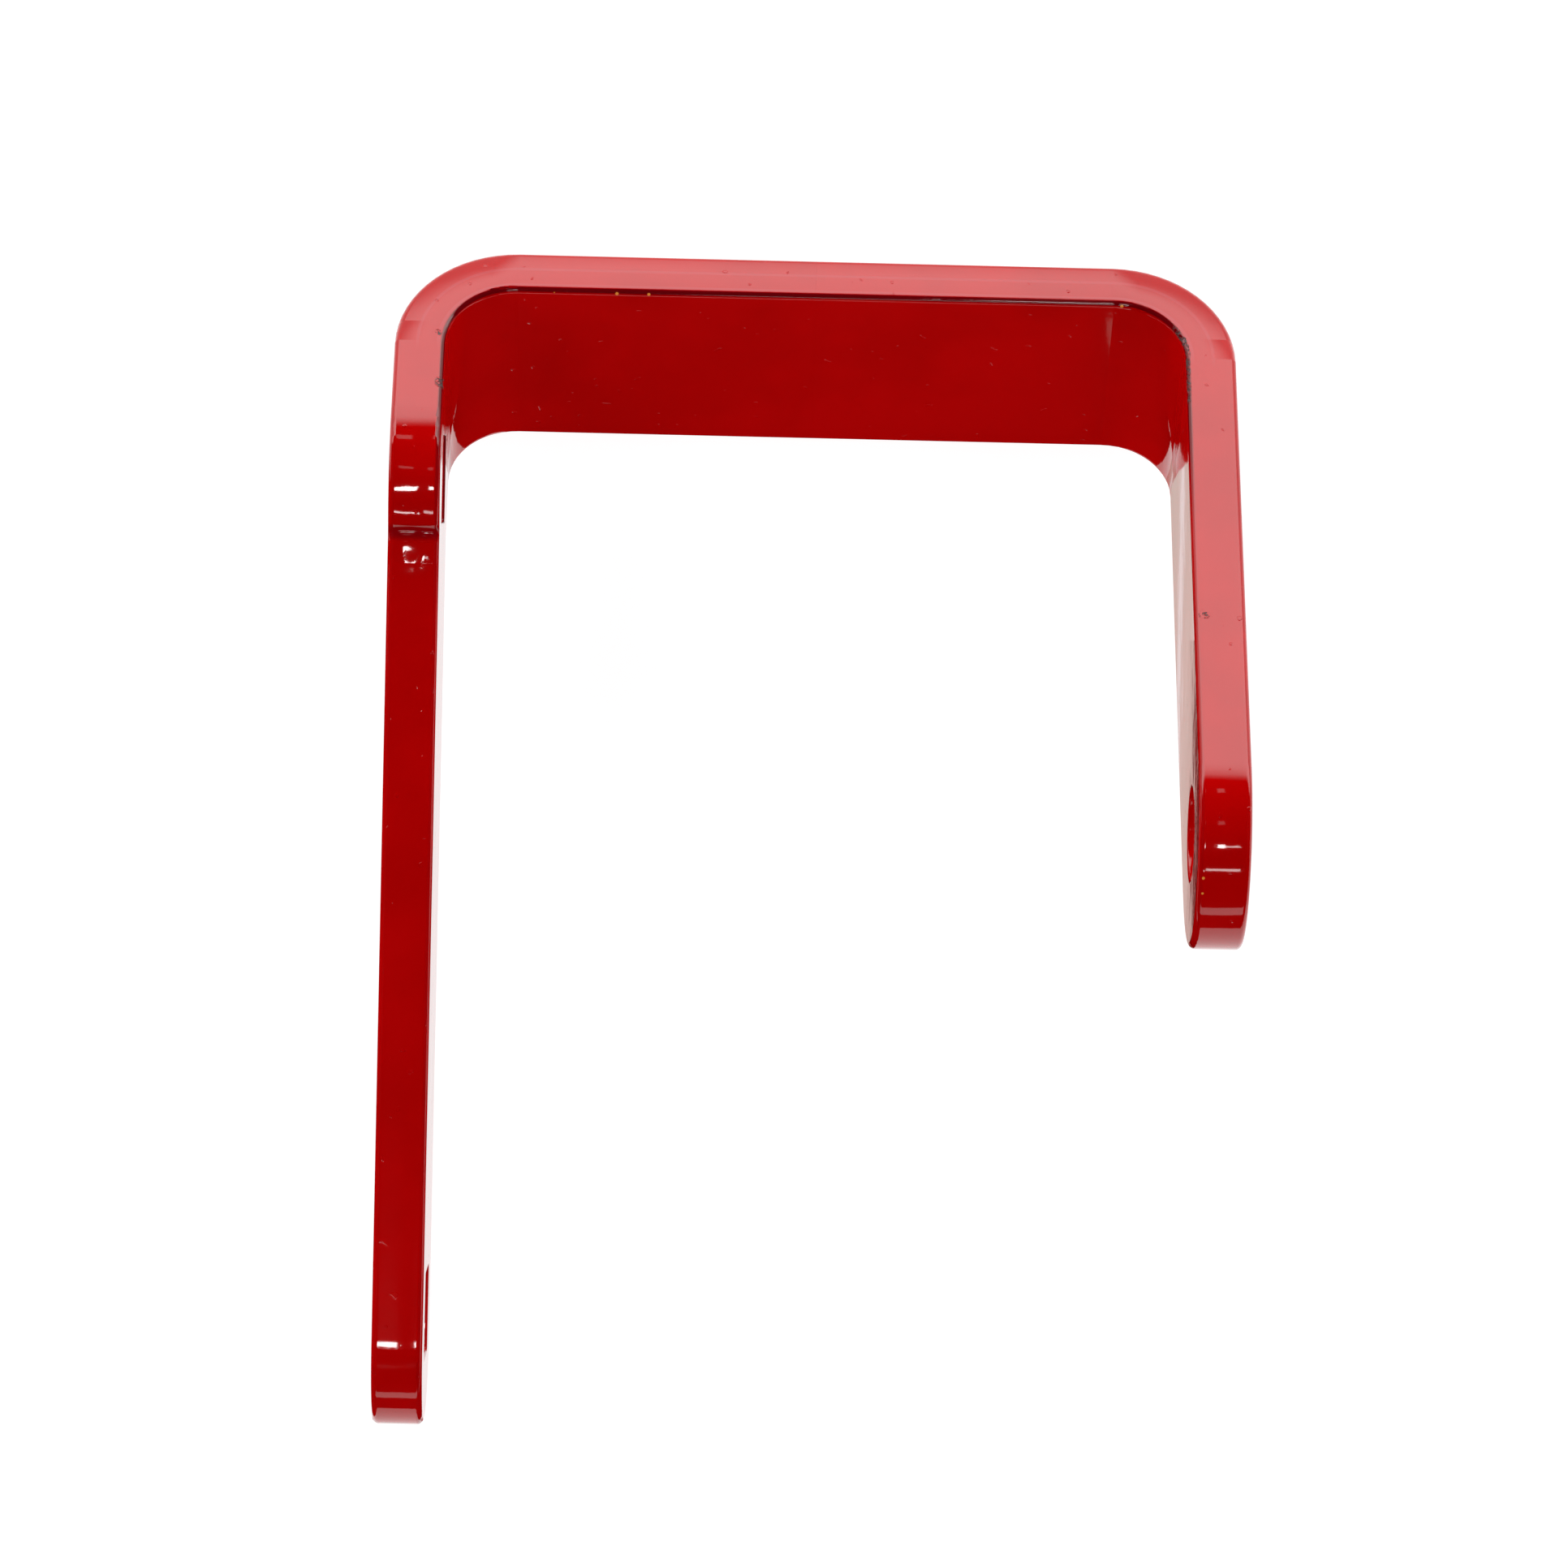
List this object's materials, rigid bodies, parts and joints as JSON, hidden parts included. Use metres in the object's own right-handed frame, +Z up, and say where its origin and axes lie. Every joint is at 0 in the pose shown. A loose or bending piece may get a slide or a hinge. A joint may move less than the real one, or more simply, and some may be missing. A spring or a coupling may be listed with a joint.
{
  "type": "offset u bracket",
  "caption": "Heavy flat-bar U bracket with a short bored leg and a long eared leg whose arm is set at an angle, with square bolt holes, painted gloss red.",
  "frame": {"origin": "on the floor under the middle of the bracket's box, as the bracket lies at rest on the outer corner of its web and on the end of its arm", "axes": "+X across the U, along the axes of all three holes, from the long leg (-X) to the short leg (+X); +Z up; the web is at the +Y end and the arm points to -Y"},
  "size_m": [0.131, 0.1836, 0.086],
  "materials": {
    "red_paint": "thick glossy red coat over blasted steel plate, slightly orange-peeled, with small chips and specks along the cut edges"
  },
  "bodies": {
    "root": {"bracket": "red_paint"}
  },
  "joints": []
}
